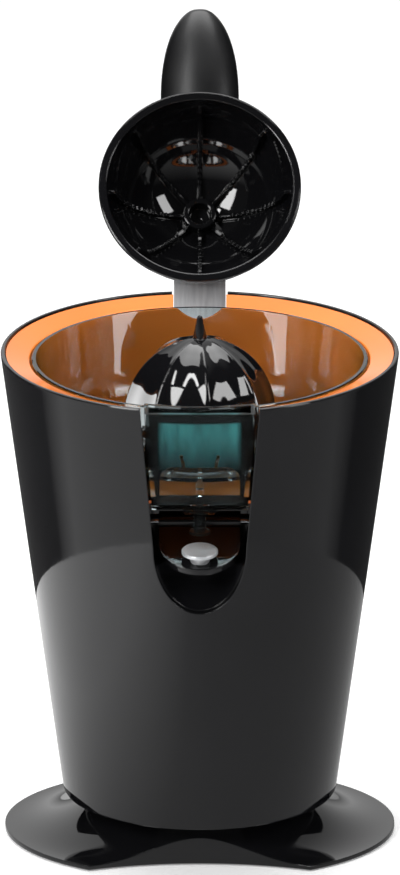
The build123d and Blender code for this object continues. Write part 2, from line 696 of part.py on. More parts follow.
def everything():
    housing = outer_housing()
    tongue = drip_stop()
    top = MOTOR_Z + STACK_T
    pieces = {
        "outer_housing": housing,
        "orange_liner": orange_liner(),
        "spout_niche": spout_niche(),
        "juice_container": juice_container(),
        "pulp_sieve": pulp_sieve(),
        "reaming_cone": reaming_cone(),
        "drip_stop": tongue,
        "drip_pad": drip_pad(tongue),
        "drip_pin": cross_rod(-24, 24, DRIP_Y, DRIP_Z, 1.2),
        "hinge_bracket": hinge_bracket(),
        "hinge_pin": cross_rod(-17.2, 17.2, HINGE_Y, HINGE_Z, 2.0),
        "base_plate": base_plate(),
        "bottom_cover": bottom_cover(),
        "rubber_feet": rubber_feet(),
        "base_screws": group([screw(17.5, 13, x, y, up=False) for x, y in around(4, 40, 45)]),
        "cover_screws": group(
            [screw(1.9, 7, x, y, up=False, head_r=2.8, head_t=1.0) for x in (-45, 45) for y in (-18, 25)]
        ),
        "liner_screws": group([screw(WELL_FLOOR_Z, 12, x, y) for x, y in around(3, 47, 90)]),
        "gearbox_screws": group([screw(GEARBOX_TOP_Z, 14, x, y) for x, y in gearbox_screw_places()]),
        "gearbox_base": gearbox_base(),
        "gearbox_cover": gearbox_cover(),
        "output_gear": output_gear(),
        "idler_gear": idler_gear(),
        "idler_pin": rod(GEARBOX_Z - DECK_T, GEARBOX_TOP_Z, 3.0, GEAR_CENTRES),
        "motor_pinion": motor_pinion(),
        "motor_shaft": rod(MOTOR_Z - 14, STAGE_1_Z + GEAR_T, SHAFT_R),
        "motor_rotor": tube(MOTOR_Z - 2, top + 2, ROTOR_R, SHAFT_R),
        "motor_stator": motor_stator(),
        "motor_windings": motor_windings(),
        "motor_bracket": motor_bracket(),
        "motor_spacers": group(motor_spacers()),
        "motor_screws": group(
            [screw(MOTOR_Z - 13, 60, x, y, up=False) for x, y in motor_screw_places()]
        ),
        "motor_bearings": group(
            [
                tube(MOTOR_Z - 13, MOTOR_Z - 10, 6.0, SHAFT_R + 0.04),
                tube(GEARBOX_Z - DECK_T, GEARBOX_Z, 6.0, SHAFT_R + 0.04),
            ]
        ),
        "drive_spindle": drive_spindle(),
        "start_collar": tube(179, 181, 16.0, 5.0),
        "spindle_bushes": group(
            [tube(GEARBOX_TOP_Z - DECK_T, 170, 9.5, 8.05), tube(184.5, 195, 8.6, 5.05)]
        ),
        "shaft_seal": tube(195, 199, 8.6, 5.05),
        "return_spring": return_spring(),
        "switch_body": switch_body(),
        "switch_plunger": rod(171, 179, 1.0, -14.2, 0),
        "cord_grommet": cord_grommet(housing),
    }
    pieces.update(lever_pieces())
    return pieces


os.makedirs("parts", exist_ok=True)
for node, shape in everything().items():
    export_step(shape, f"parts/{node}.step")
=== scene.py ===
import math

import bmesh
import bpy
from mathutils import Matrix, Vector


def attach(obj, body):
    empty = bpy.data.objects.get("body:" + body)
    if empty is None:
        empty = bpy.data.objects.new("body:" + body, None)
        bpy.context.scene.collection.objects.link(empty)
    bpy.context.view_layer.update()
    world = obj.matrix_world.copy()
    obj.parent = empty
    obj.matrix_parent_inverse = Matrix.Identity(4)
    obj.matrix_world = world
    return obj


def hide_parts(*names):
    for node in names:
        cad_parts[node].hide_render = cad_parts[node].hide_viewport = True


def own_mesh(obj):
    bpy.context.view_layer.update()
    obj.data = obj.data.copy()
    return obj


# Lengths in the mesh functions are millimetres, like the design; a piece is scaled to metres once.
MM = 0.001
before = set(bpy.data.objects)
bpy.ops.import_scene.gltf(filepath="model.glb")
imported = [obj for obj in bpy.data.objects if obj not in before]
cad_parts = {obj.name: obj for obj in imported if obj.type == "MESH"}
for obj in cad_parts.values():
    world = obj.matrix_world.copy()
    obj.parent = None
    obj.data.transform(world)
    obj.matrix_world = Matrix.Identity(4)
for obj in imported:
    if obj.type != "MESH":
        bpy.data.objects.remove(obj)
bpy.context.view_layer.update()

# ---- sizes, shared with the CAD model --------------------------------------------------------
RIM_R, RIM_Z = 95.0, 240.0
TUB_R, TUB_Z = 65.3, 20.6
TAPER = (RIM_R - TUB_R) / (RIM_Z - TUB_Z)
WALL = 2.4
WINDOW_TOP_W, WINDOW_LOW_W, WINDOW_LOW_Z, WINDOW_DROP = 28.3, 22.0, 168.0, 33.0
POCKET_BACK_Y, SCOOP_Y, SCOOP_TOP_Z = -46.0, -84.0, 158.0
WELL_R, WELL_TOP_Z, WELL_FLOOR_Z = 81.1, 236.0, 186.0
BOWL_R, BOWL_TOP_Z, BOWL_Z, BOWL_WALL = 80.3, 236.6, 188.0, 2.2
BOX_TOP_Z, BOX_TOP_W, BOX_LOW_W = 237.6, 26.2, 22.6
BOX_TOP_Y, BOX_LOW_Y = -90.6, -84.0
NOZZLE_Y, NOZZLE_END_Z = -74.0, 173.0
CONE_R, CONE_Z, CONE_WAIST_Z, CONE_TOP_Z, CONE_PIN_TIP_Z = 36.7, 200.0, 208.0, 247.0, 257.5
RIDGES = 8
HINGE_Y, HINGE_Z, OPEN_DEG = 85.0, 213.0, 128.0
ARM_T, ARM_Z = 4.0, 247.0
SLOT_W, SLOT_Z = 26.6, 197.0
DOME_Z, DOME_R, DOME_LIP_R, DOME_DEPTH, DOME_WALL = 215.0, 46.8, 48.9, 47.0, 2.0
GRIP_Z, GRIP_ROOT_Y, GRIP_TIP_Y, GRIP_HALF_W, GRIP_HALF_T = 250.0, -57.0, -105.4, 19.0, 9.0
DRIP_Y, DRIP_Z, DRIP_SLOPE, DRIP_HALF_W = -50.0, 171.0, 22.4, 19.4
PAD_Y, PAD_Z, PAD_R = -76.0, 165.5, 8.65
BASE_HALF_X, BASE_HALF_Y, BASE_Z, BASE_EDGE_Z, BASE_NECK_R = 93.4, 78.4, 0.8, 2.7, 50.0
BASE_CUT_Y, BASE_CUT_R = -55.3, 152.7


# ---- camera and studio -----------------------------------------------------------------------
CAMERA_DOWN = math.radians(18.1)
CAMERA_FAR = 8.4
FRAME_HEIGHT = 0.41706
AIM_X, AIM_Z = 0.0001, 0.19653
TABLE_GLOSS_R = 345.0
CARD_Z = 0.199


def make_camera():
    data = bpy.data.cameras.new("camera")
    camera = bpy.data.objects.new("camera", data)
    bpy.context.collection.objects.link(camera)
    data.sensor_width = 36.0
    data.lens = data.sensor_width * CAMERA_FAR / FRAME_HEIGHT
    data.clip_end = 60
    aim = Vector((AIM_X, 0, AIM_Z))
    back = Vector((0, -math.cos(CAMERA_DOWN), math.sin(CAMERA_DOWN)))
    camera.location = aim + back * CAMERA_FAR
    camera.rotation_euler = (-back).to_track_quat("-Z", "Y").to_euler()
    bpy.context.scene.camera = camera


def make_card(name, x0, x1, y0, y1, z0, z1, material):
    """A flat card between two opposite corners; one of the three spans is zero."""
    corners = {
        "x": [(x0, y0, z0), (x0, y1, z0), (x0, y1, z1), (x0, y0, z1)],
        "y": [(x0, y0, z0), (x1, y0, z0), (x1, y0, z1), (x0, y0, z1)],
        "z": [(x0, y0, z0), (x1, y0, z0), (x1, y1, z0), (x0, y1, z0)],
    }
    flat = "x" if x0 == x1 else "y" if y0 == y1 else "z"
    mesh = bpy.data.meshes.new(name)
    mesh.from_pydata(corners[flat], [], [(0, 1, 2, 3)])
    card = bpy.data.objects.new(name, mesh)
    bpy.context.collection.objects.link(card)
    mesh.materials.append(material)
    return card


def make_light(name, place, aim, width, height, power):
    data = bpy.data.lights.new(name, "AREA")
    data.shape = "RECTANGLE"
    data.size, data.size_y = width, height
    data.energy = power
    light = bpy.data.objects.new(name, data)
    bpy.context.collection.objects.link(light)
    light.location = place
    light.rotation_euler = (Vector(aim) - Vector(place)).to_track_quat("-Z", "Y").to_euler()


def emission(name, level):
    material = bpy.data.materials.new(name)
    material.use_nodes = True
    nodes = material.node_tree.nodes
    nodes.clear()
    out = nodes.new("ShaderNodeOutputMaterial")
    glow = nodes.new("ShaderNodeEmission")
    glow.inputs["Color"].default_value = (1, 1, 1, 1)
    glow.inputs["Strength"].default_value = level
    material.node_tree.links.new(glow.outputs[0], out.inputs[0])
    return material


def floor_material():
    material, nodes, link, shader = new_material("floor_white")
    grain = noise(nodes, link, 30, 3)
    tone = ramp(nodes, link, grain, [(0.3, (0.93, 0.93, 0.93)), (0.7, (0.96, 0.96, 0.96))])
    link(tone, shader.inputs["Base Color"])
    shader.inputs["Roughness"].default_value = 0.45
    shader.inputs["Specular IOR Level"].default_value = 0.25
    link(tone, shader.inputs["Emission Color"])
    shader.inputs["Emission Strength"].default_value = 0.22
    return material


def make_world():
    """White for the camera. For light and reflections it is bright behind, dimmer at the right,
    and dark in front above."""
    world = bpy.data.worlds.new("studio")
    bpy.context.scene.world = world
    world.use_nodes = True
    nodes, link = world.node_tree.nodes, world.node_tree.links.new
    sky = nodes["Background"]
    where = nodes.new("ShaderNodeTexCoord")
    split = nodes.new("ShaderNodeSeparateXYZ")
    link(where.outputs["Generated"], split.inputs[0])

    def along(axis, stops):
        level = nodes.new("ShaderNodeMapRange")
        level.inputs["From Min"].default_value = -1
        link(split.outputs[axis], level.inputs["Value"])
        return ramp(nodes, link, level.outputs[0], greys(stops))

    def mixed(how, one, two):
        node = nodes.new("ShaderNodeMix")
        node.data_type = "RGBA"
        node.blend_type = how
        node.inputs[0].default_value = 1.0
        link(one, node.inputs[6])
        link(two, node.inputs[7])
        return node.outputs[2]

    sides = along("X", [(0.05, 1.0), (0.45, 0.8), (0.62, 0.36), (0.98, 0.4)])
    height = along("Z", [(0.40, 1.0), (0.58, 0.05)])
    nearer = along("Y", [(0.52, 1.0), (0.66, 0.10)])
    front = mixed("MULTIPLY", mixed("MULTIPLY", sides, height), nearer)
    far_side = along("Y", [(0.50, 0.0), (0.72, 1.0)])
    above = along("Z", [(0.47, 0.04), (0.56, 1.0)])
    behind = mixed("MULTIPLY", far_side, above)
    back = mixed("MULTIPLY", behind, along("X", [(0.30, 1.0), (0.50, 0.9), (0.72, 0.45)]))
    link(mixed("LIGHTEN", front, back), sky.inputs["Color"])
    sky.inputs["Strength"].default_value = 1.0
    white = nodes.new("ShaderNodeBackground")
    white.inputs["Color"].default_value = (1, 1, 1, 1)
    white.inputs["Strength"].default_value = 1.1
    path = nodes.new("ShaderNodeLightPath")
    choose = nodes.new("ShaderNodeMixShader")
    link(path.outputs["Is Camera Ray"], choose.inputs[0])
    link(sky.outputs[0], choose.inputs[1])
    link(white.outputs[0], choose.inputs[2])
    link(choose.outputs[0], nodes["World Output"].inputs[0])


def table_glow():
    """What the round table sends into the gloss: brighter at the left than at the right."""
    material = emission("table_glow", 1.0)
    nodes, link = material.node_tree.nodes, material.node_tree.links.new
    split = object_axes(nodes, link)
    level = nodes.new("ShaderNodeMapRange")
    level.inputs["From Min"].default_value = -0.4
    level.inputs["From Max"].default_value = 0.4
    link(split.outputs["X"], level.inputs["Value"])
    tones = [(0.0, 0.95), (0.25, 0.78), (0.46, 0.29), (0.54, 0.24), (1.0, 0.18)]
    link(ramp(nodes, link, level.outputs[0], greys(tones)), nodes["Emission"].inputs["Color"])
    nodes["Emission"].inputs["Strength"].default_value = 1.9
    return material


def reflected_only(card):
    """Seen in reflections and by nothing else."""
    card.visible_camera = False
    card.visible_diffuse = False
    card.visible_shadow = False
    card.visible_transmission = False
    return card


def make_studio():
    make_world()
    table = make_card("table", -4.0, 4.0, -3.0, 6.0, 0.0, 0.0, floor_material())
    table.visible_glossy = False
    disc = lathe("table_gloss", [(0, 0), (TABLE_GLOSS_R, 0), (TABLE_GLOSS_R, 0.05), (0, 0.05)], 128)
    disc.data.transform(Matrix.Translation((0, 0, -0.0002)) @ Matrix.Scale(MM, 4))
    disc.data.materials.append(table_glow())
    reflected_only(disc)
    dark = emission("flag_black", 0.0)
    for side in (-1, 1):
        at = side * 0.9
        reflected_only(make_card(f"flag_{side}", at, at, 0.25, 1.3, 0.10, 1.2, dark))
    bright = emission("card_white", 3.6)
    side_bright = emission("side_card_white", 7.0)
    for side in (-1, 1):
        x0, x1 = sorted((side * 0.019, side * 0.050))
        front_card = (x0, x1, -0.046, -0.046, CARD_Z, 0.229)
        reflected_only(make_card(f"card_{side}", *front_card, bright))
        at = side * 0.0605
        side_card = (at, at, -0.038, 0.014, CARD_Z, 0.231)
        reflected_only(make_card(f"side_card_{side}", *side_card, side_bright))
    make_light("key", (-1.0, -0.95, 1.05), (0, 0, 0.18), 0.40, 0.75, 15)
    make_light("fill", (1.15, -0.65, 1.15), (0, 0, 0.16), 0.35, 0.65, 7)
    make_light("strip", (-0.52, -0.62, 1.50), (0, 0.2, 0.3), 0.10, 0.55, 3.5)
    make_light("top", (0, 0.5, 1.9), (0, 0, 0.1), 1.6, 1.2, 30)


# ---- materials -------------------------------------------------------------------------------
PLASTIC_IOR, BOX_IOR = 1.5, 1.14


def new_material(name):
    material = bpy.data.materials.new(name)
    material.use_nodes = True
    tree = material.node_tree
    shader = tree.nodes["Principled BSDF"]
    return material, tree.nodes, tree.links.new, shader


def noise(nodes, link, scale, detail, stretch=(1, 1, 1)):
    where = nodes.new("ShaderNodeTexCoord")
    mapping = nodes.new("ShaderNodeMapping")
    mapping.inputs["Scale"].default_value = stretch
    link(where.outputs["Object"], mapping.inputs["Vector"])
    texture = nodes.new("ShaderNodeTexNoise")
    texture.inputs["Scale"].default_value = scale
    texture.inputs["Detail"].default_value = detail
    link(mapping.outputs[0], texture.inputs["Vector"])
    return texture.outputs["Fac"]


def object_axes(nodes, link):
    where = nodes.new("ShaderNodeTexCoord")
    split = nodes.new("ShaderNodeSeparateXYZ")
    link(where.outputs["Object"], split.inputs[0])
    return split


def greys(stops):
    return [(place, (tone, tone, tone)) for place, tone in stops]


def product(nodes, link, one, two):
    node = nodes.new("ShaderNodeMath")
    node.operation = "MULTIPLY"
    link(one, node.inputs[0])
    link(two, node.inputs[1])
    return node.outputs[0]


def ramp(nodes, link, source, stops):
    node = nodes.new("ShaderNodeValToRGB")
    elements = node.color_ramp.elements
    while len(elements) < len(stops):
        elements.new(0.5)
    for element, (place, colour) in zip(elements, stops):
        element.position = place
        element.color = (*colour, 1)
    link(source, node.inputs[0])
    return node.outputs[0]


def spread(nodes, link, source, low, high):
    node = nodes.new("ShaderNodeMapRange")
    node.inputs["From Min"].default_value = 0.25
    node.inputs["From Max"].default_value = 0.75
    node.inputs["To Min"].default_value = low
    node.inputs["To Max"].default_value = high
    link(source, node.inputs["Value"])
    return node.outputs[0]


def bumped(nodes, link, shader, source, strength, distance, edge=0.0):
    bump = nodes.new("ShaderNodeBump")
    bump.inputs["Strength"].default_value = strength
    bump.inputs["Distance"].default_value = distance
    link(source, bump.inputs["Height"])
    if edge:
        bevel = nodes.new("ShaderNodeBevel")
        bevel.samples = 4
        bevel.inputs["Radius"].default_value = edge
        link(bevel.outputs[0], bump.inputs["Normal"])
    link(bump.outputs[0], shader.inputs["Normal"])


def moulded(name, low, high, rough, grain, bump, edge=0.0, metal=0.0):
    """A moulded or cast surface: slight colour and gloss variation and a fine surface grain."""
    material, nodes, link, shader = new_material(name)
    tone = ramp(nodes, link, noise(nodes, link, 14, 3), [(0.3, low), (0.7, high)])
    link(tone, shader.inputs["Base Color"])
    link(spread(nodes, link, noise(nodes, link, 45, 4), *rough), shader.inputs["Roughness"])
    bumped(nodes, link, shader, noise(nodes, link, grain, 2), bump, 0.0004, edge)
    shader.inputs["Metallic"].default_value = metal
    return material


def brushed(name, low, high, stretch, rough, metal=1.0):
    material, nodes, link, shader = new_material(name)
    lines = noise(nodes, link, 60, 6, stretch)
    link(ramp(nodes, link, lines, [(0.3, low), (0.7, high)]), shader.inputs["Base Color"])
    link(spread(nodes, link, lines, *rough), shader.inputs["Roughness"])
    bumped(nodes, link, shader, lines, 0.05, 0.0002, 0.0004)
    shader.inputs["Metallic"].default_value = metal
    shader.inputs["Anisotropic"].default_value = 0.5
    return material


def clear_plastic(name, middle, edge):
    material, nodes, link, shader = new_material(name)
    facing = nodes.new("ShaderNodeLayerWeight")
    facing.inputs["Blend"].default_value = 0.35
    tone = ramp(nodes, link, facing.outputs["Facing"], [(0.35, middle), (0.95, edge)])
    link(tone, shader.inputs["Base Color"])
    link(spread(nodes, link, noise(nodes, link, 40, 3), 0.0, 0.05), shader.inputs["Roughness"])
    bumped(nodes, link, shader, noise(nodes, link, 25, 2), 0.06, 0.0005)
    shader.inputs["Transmission Weight"].default_value = 1.0
    shader.inputs["IOR"].default_value = PLASTIC_IOR
    return material


# ---- mesh building, in millimetres -----------------------------------------------------------
def solid(name, mesh):
    bmesh.ops.remove_doubles(mesh, verts=mesh.verts, dist=1e-5)
    bmesh.ops.recalc_face_normals(mesh, faces=mesh.faces)
    data = bpy.data.meshes.new(name)
    mesh.to_mesh(data)
    mesh.free()
    piece = bpy.data.objects.new(name, data)
    bpy.context.collection.objects.link(piece)
    return piece


def rings_to_solid(name, rings):
    """Closed surface through rings of equal length; a ring of one point is a pole."""
    mesh = bmesh.new()
    rows = [[mesh.verts.new(point) for point in ring] for ring in rings]
    for a, b in zip(rows, rows[1:] + rows[:1]):
        count = max(len(a), len(b))
        if count == 1:
            continue
        for i in range(count):
            j = (i + 1) % count
            if len(a) == 1:
                mesh.faces.new((a[0], b[i], b[j]))
            elif len(b) == 1:
                mesh.faces.new((a[i], b[0], a[j]))
            else:
                mesh.faces.new((a[i], b[i], b[j], a[j]))
    return solid(name, mesh)


def turn_angles(steps):
    return [2 * math.pi * i / steps for i in range(steps)]


def circle(x, z, radius, steps):
    return [(x + radius * math.cos(a), z + radius * math.sin(a)) for a in turn_angles(steps)]


def turned(r, z, steps, x=0.0, y=0.0):
    if r < 1e-6:
        return [(x, y, z)]
    return [(px, py, z) for px, py in circle(x, y, r, steps)]


def lathe(name, outline, steps=192, x=0.0, y=0.0):
    return rings_to_solid(name, [turned(r, z, steps, x, y) for r, z in outline])


def rod(z0, z1, radius, x=0.0, y=0.0, steps=48):
    return lathe("rod", [(0, z0), (radius, z0), (radius, z1), (0, z1)], steps, x, y)


def prism(name, axis, points, low, high):
    """A flat outline pushed along an axis: (y, z) along x, (x, z) along y, (x, y) along z."""
    place = {
        "x": lambda p, at: (at, p[0], p[1]),
        "y": lambda p, at: (p[0], at, p[1]),
        "z": lambda p, at: (p[0], p[1], at),
    }[axis]
    mesh = bmesh.new()
    near = [mesh.verts.new(place(p, low)) for p in points]
    far = [mesh.verts.new(place(p, high)) for p in points]
    mesh.faces.new(near)
    mesh.faces.new(far[::-1])
    for i in range(len(points)):
        j = (i + 1) % len(points)
        mesh.faces.new((near[i], far[i], far[j], near[j]))
    return solid(name, mesh)


def block(x0, x1, y0, y1, z0, z1):
    return prism("block", "z", [(x0, y0), (x1, y0), (x1, y1), (x0, y1)], z0, z1)


def cross_rod(x0, x1, y, z, radius, steps=48):
    return prism("cross_rod", "x", circle(y, z, radius, steps), x0, x1)


def cut(piece, *tools, how="DIFFERENCE"):
    for tool in tools:
        modifier = piece.modifiers.new("cut", "BOOLEAN")
        modifier.operation = how
        modifier.solver = "EXACT"
        modifier.object = tool
        bpy.context.view_layer.update()
        ready = piece.evaluated_get(bpy.context.evaluated_depsgraph_get())
        data = bpy.data.meshes.new_from_object(ready)
        piece.modifiers.clear()
        piece.data = data
        bpy.data.objects.remove(tool)
    return piece


def stack(piece, *others):
    """Adds the other meshes to the piece; they overlap it, so no cut is needed."""
    mesh = bmesh.new()
    mesh.from_mesh(piece.data)
    for other in others:
        mesh.from_mesh(other.data)
        bpy.data.objects.remove(other)
    mesh.to_mesh(piece.data)
    mesh.free()
    return piece


def show(piece, node, finish, sharp=32, turn=None, body="body"):
    """Finishes a rebuilt piece: metres, smooth shading, material, the CAD node it stands for."""
    piece.name = node + "_skin"
    if turn:
        piece.data.transform(turn)
    piece.data.transform(Matrix.Scale(MM, 4))
    piece.data.shade_smooth()
    piece.data.set_sharp_from_angle(angle=math.radians(sharp))
    piece.data.materials.clear()
    piece.data.materials.append(finish)
    weigh = piece.modifiers.new("weigh", "WEIGHTED_NORMAL")
    weigh.keep_sharp = True
    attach(piece, body)
    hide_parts(node)
    return piece


# ---- shapes ----------------------------------------------------------------------------------
def tub_radius(z):
    return TUB_R + TAPER * (z - TUB_Z)


def bowl_radius(z):
    return BOWL_R - TAPER * (BOWL_TOP_Z - z)


def window(grow, y_back, y_front, steps=72):
    slope = (WINDOW_TOP_W - WINDOW_LOW_W) / (RIM_Z - WINDOW_LOW_Z)
    top_z = RIM_Z + 5
    top_w = WINDOW_LOW_W + slope * (top_z - WINDOW_LOW_Z) + grow
    low_w = WINDOW_LOW_W + grow
    half = [math.pi + math.pi * i / steps for i in range(steps + 1)]
    arc = [(low_w * math.cos(a), WINDOW_LOW_Z + (WINDOW_DROP + grow) * math.sin(a)) for a in half]
    return prism("window", "y", [(-top_w, top_z)] + arc + [(top_w, top_z)], y_back, y_front)


def make_housing(finish):
    low, high = TUB_Z, RIM_Z
    outline = [
        (30, low),
        (TUB_R - 1.6, low),
        (TUB_R - 0.4, low + 0.5),
        (TUB_R + 0.1, low + 1.4),
        (tub_radius(100), 100),
        (tub_radius(170), 170),
        (RIM_R - 0.2, high - 1.0),
        (RIM_R - 0.35, high - 0.4),
        (RIM_R - 0.8, high),
        (RIM_R - WALL + 0.3, high),
        (RIM_R - WALL - 0.1, high - 1.0),
        (tub_radius(low + 3.4) - WALL, low + 3.4),
        (30, low + 3.4),
    ]
    shell = lathe("housing", outline, 256)
    cord_hole = prism("hole", "y", circle(0, 38, 5, 48), 40, 90)
    slot = block(-SLOT_W / 2, SLOT_W / 2, 60, 110, SLOT_Z, high + 5)
    show(cut(shell, window(0, -40, -120), slot, cord_hole), "outer_housing", finish)


def make_liner(finish):
    outer = WELL_R + 1.5
    low_in = WELL_R - TAPER * (WELL_TOP_Z - WELL_FLOOR_Z)
    outline = [
        (92.3, 239.0),
        (WELL_R + 0.6, WELL_TOP_Z + 0.15),
        (WELL_R, WELL_TOP_Z - 0.4),
        (low_in, WELL_FLOOR_Z),
        (10.0, WELL_FLOOR_Z),
        (10.0, 199.0),
        (8.6, 199.0),
        (8.6, WELL_FLOOR_Z - 2),
        (low_in + 1.4, WELL_FLOOR_Z - 2),
        (outer, WELL_TOP_Z - 1.3),
        (90.6, 237.0),
        (89.9, 231.0),
        (91.3, 231.0),
    ]
    well = lathe("liner", outline, 256)
    skirt = cut(window(2.4, -80, -120), block(-60, 60, -130, -80, 200, 236.8), how="INTERSECT")
    notch = block(-SLOT_W / 2 + 0.6, SLOT_W / 2 - 0.6, 80.4, 110, SLOT_Z, RIM_Z + 5)
    show(cut(well, window(0.2, -62, -120), skirt, notch), "orange_liner", finish)


def make_niche(finish):
    low, high = TUB_Z + 3.4, RIM_Z + 20
    inset = WALL + 0.05
    wall = [(0, low), (tub_radius(low) - inset, low), (tub_radius(high) - inset, high), (0, high)]
    inside = lathe("inside", wall, 256)
    shell = cut(window(2.0, POCKET_BACK_Y + 2, -120), inside, how="INTERSECT")
    above_scoop = block(-60, 60, -130, 0, SCOOP_TOP_Z, RIM_Z + 9)
    pocket = cut(window(0, POCKET_BACK_Y, -121), above_scoop, how="INTERSECT")
    arc = [math.pi / 2 * i / 40 for i in range(41)]
    bowl = [(WINDOW_LOW_W * math.sin(a), WINDOW_LOW_Z - WINDOW_DROP * math.cos(a)) for a in arc]
    scoop = lathe("scoop", bowl + [(0, WINDOW_LOW_Z)], 160, 0, SCOOP_Y)
    roof_z = WELL_FLOOR_Z - 2.2
    slopes = [(76.2, roof_z), (83.0, 234.2), (91.6, 236.7), (97, 236.7), (97, 260), (0, 260)]
    well = lathe("well", [(0, roof_z)] + slopes)
    back = block(-60, 60, -62.2, 0, roof_z, RIM_Z + 9)
    show(cut(shell, pocket, scoop, back, well), "spout_niche", finish)


def spout_box(inset):
    top_z = BOX_TOP_Z + inset * 4
    spread = (BOX_TOP_W - BOX_LOW_W) / (BOX_TOP_Z - BOWL_Z)
    top_w = BOX_LOW_W + spread * (top_z - BOWL_Z) - inset
    low_w = BOX_LOW_W - inset
    low_z = BOWL_Z + inset
    lean = (BOX_TOP_Y - BOX_LOW_Y) / (BOX_TOP_Z - BOWL_Z)
    top_y = BOX_LOW_Y + lean * (top_z - BOWL_Z) + inset
    front = [(-top_w, top_z), (-low_w, low_z), (low_w, low_z), (top_w, top_z)]
    side = [(-66, low_z), (BOX_LOW_Y + inset, low_z), (top_y, top_z), (-66, top_z)]
    leaning = prism("lean", "x", side, -40, 40)
    return cut(prism("box", "y", front, -100, -60), leaning, how="INTERSECT")


def make_container(finish):
    floor_z = BOWL_Z + 2
    top_z = 250.0
    rim = [(BOWL_R - 0.15, BOWL_TOP_Z - 0.4), (BOWL_R - 0.6, BOWL_TOP_Z), (0, BOWL_TOP_Z)]
    outer = lathe("bowl", [(0, BOWL_Z), (bowl_radius(BOWL_Z), BOWL_Z)] + rim, 256)
    low = BOWL_Z - 1
    core = [(0, low), (bowl_radius(low), low), (bowl_radius(260), 260), (0, 260)]
    hollow = cut(spout_box(2.0), lathe("core", core, 256))
    wall = [(bowl_radius(floor_z) - BOWL_WALL, floor_z), (bowl_radius(top_z) - BOWL_WALL, top_z)]
    inner = lathe("inner", [(12.9, floor_z)] + wall + [(0, top_z), (0, 204), (12.9, 204)], 256)
    bowl = cut(cut(outer, spout_box(0), how="UNION"), inner, hollow, rod(BOWL_Z - 1, 210, 11.0))
    low, high, wide, round_r = 190.0, 206.4, 19.0, 7.0
    bend = [math.pi / 2 * i / 8 for i in range(9)]
    side_x, side_z = wide - round_r, high - round_r
    right = [(side_x + round_r * math.cos(a), side_z + round_r * math.sin(a)) for a in bend]
    left = [(-x, z) for x, z in reversed(right)]
    gate = prism("gate", "y", [(wide, low)] + right + left + [(-wide, low)], -81, -65)
    bowl = cut(bowl, gate)
    sine, cosine = math.sin(math.radians(12)), math.cos(math.radians(12))
    corners = [(-0.8, -3.25), (0.8, -3.25), (0.8, 3.25), (-0.8, 3.25)]
    for side in (-1, 1):
        slot = [
            (side * (8.2 + x * cosine + z * sine), 209.5 + z * cosine - x * sine)
            for x, z in corners
        ]
        bowl = cut(bowl, prism("slot", "y", slot, -83, -73))
    end = NOZZLE_END_Z
    spout = [(0, end), (5, end), (5, end + 1.5), (2.8, 174.8), (2.8, 184)]
    spout += [(4.6, 184), (4.6, 189), (0, 189)]
    bowl = cut(bowl, lathe("nozzle", spout, 64, 0, NOZZLE_Y), how="UNION")
    for side in (-1, 1):
        ear = circle(side * 5.6, BOWL_Z - 3.4, 2.2, 32)
        bowl = cut(bowl, prism("ear", "y", ear, NOZZLE_Y - 0.8, NOZZLE_Y + 0.8), how="UNION")
    show(cut(bowl, rod(NOZZLE_END_Z - 1, floor_z + 1, 1.9, 0, NOZZLE_Y)), "juice_container", finish)


RIDGE_TURN = -83.0
RIDGE_STEP = 360 / RIDGES


def make_cone(finish):
    steps, levels = 384, 56
    height = CONE_TOP_Z - CONE_WAIST_Z
    rings = []

    def ring(radius, z, depth):
        points = []
        for angle in turn_angles(steps):
            off = math.degrees(angle) - RIDGE_TURN
            share = abs((off / RIDGE_STEP + 0.5) % 1 - 0.5) * 2
            ridge = (1 - math.sqrt(share * share + 0.002)) ** 3.2
            r = radius - depth * (1 - ridge)
            points.append((r * math.cos(angle), r * math.sin(angle), z))
        return points

    rings.append([(0, 0, 209)])
    rings.append(turned(32.6, 209, steps))
    rings.append(turned(33, CONE_Z, steps))
    rings.append(turned(CONE_R + 0.1, CONE_Z, steps))
    rings.append(turned(CONE_R + 0.2, CONE_Z + 2.2, steps))
    rings.append(ring(CONE_R, CONE_Z + 2.4, 0.6))
    rings.append(ring(CONE_R, CONE_Z + 3.4, 2.3))
    rings.append(ring(CONE_R, CONE_WAIST_Z, 2.6))
    for i in range(1, levels):
        a = math.radians(84) * i / levels
        radius = CONE_R * math.cos(a)
        depth = 2.6 * min(1, max(0, (radius - 5) / 12)) ** 0.7
        rings.append(ring(radius, CONE_WAIST_Z + (height - 0.6) * math.sin(a) + 0.2, depth))
    rings.append([(0, 0, CONE_TOP_Z - 0.3)])
    cone = rings_to_solid("cone", rings)
    tip = CONE_PIN_TIP_Z
    pin = [(0, 240), (3.5, 240), (3.3, 246.5), (1.35, tip - 0.9), (0.95, tip - 0.25)]
    pin += [(0.5, tip), (0, tip)]
    stack(cone, lathe("pin", pin, 64))
    show(cone, "reaming_cone", finish, sharp=38, body="cone")


def make_spring(finish):
    radius, wire, low, rise = 10.7, 0.55, 170.75, 7.6
    turns, steps, around = 7.6 / 2.35, 240, 12
    rings = []
    for i in range(steps + 1):
        a = 2 * math.pi * turns * i / steps
        z = low + rise * i / steps
        ring = []
        for b in turn_angles(around):
            r = radius + wire * math.cos(b)
            ring.append((r * math.cos(a), r * math.sin(a), z + wire * math.sin(b)))
        rings.append(ring)
    first, last = (
        [(radius * math.cos(a), radius * math.sin(a), z)]
        for a, z in ((0.0, low), (2 * math.pi * turns, low + rise))
    )
    coil = rings_to_solid("spring", [first] + rings + [last])
    spring = show(coil, "return_spring", finish)
    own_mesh(spring)


# The lever is drawn folded over the cone, then turned open about its hinge.
OPENED = (
    Matrix.Translation((0, HINGE_Y, HINGE_Z))
    @ Matrix.Rotation(-math.radians(OPEN_DEG), 4, "X")
    @ Matrix.Translation((0, -HINGE_Y, -HINGE_Z))
)


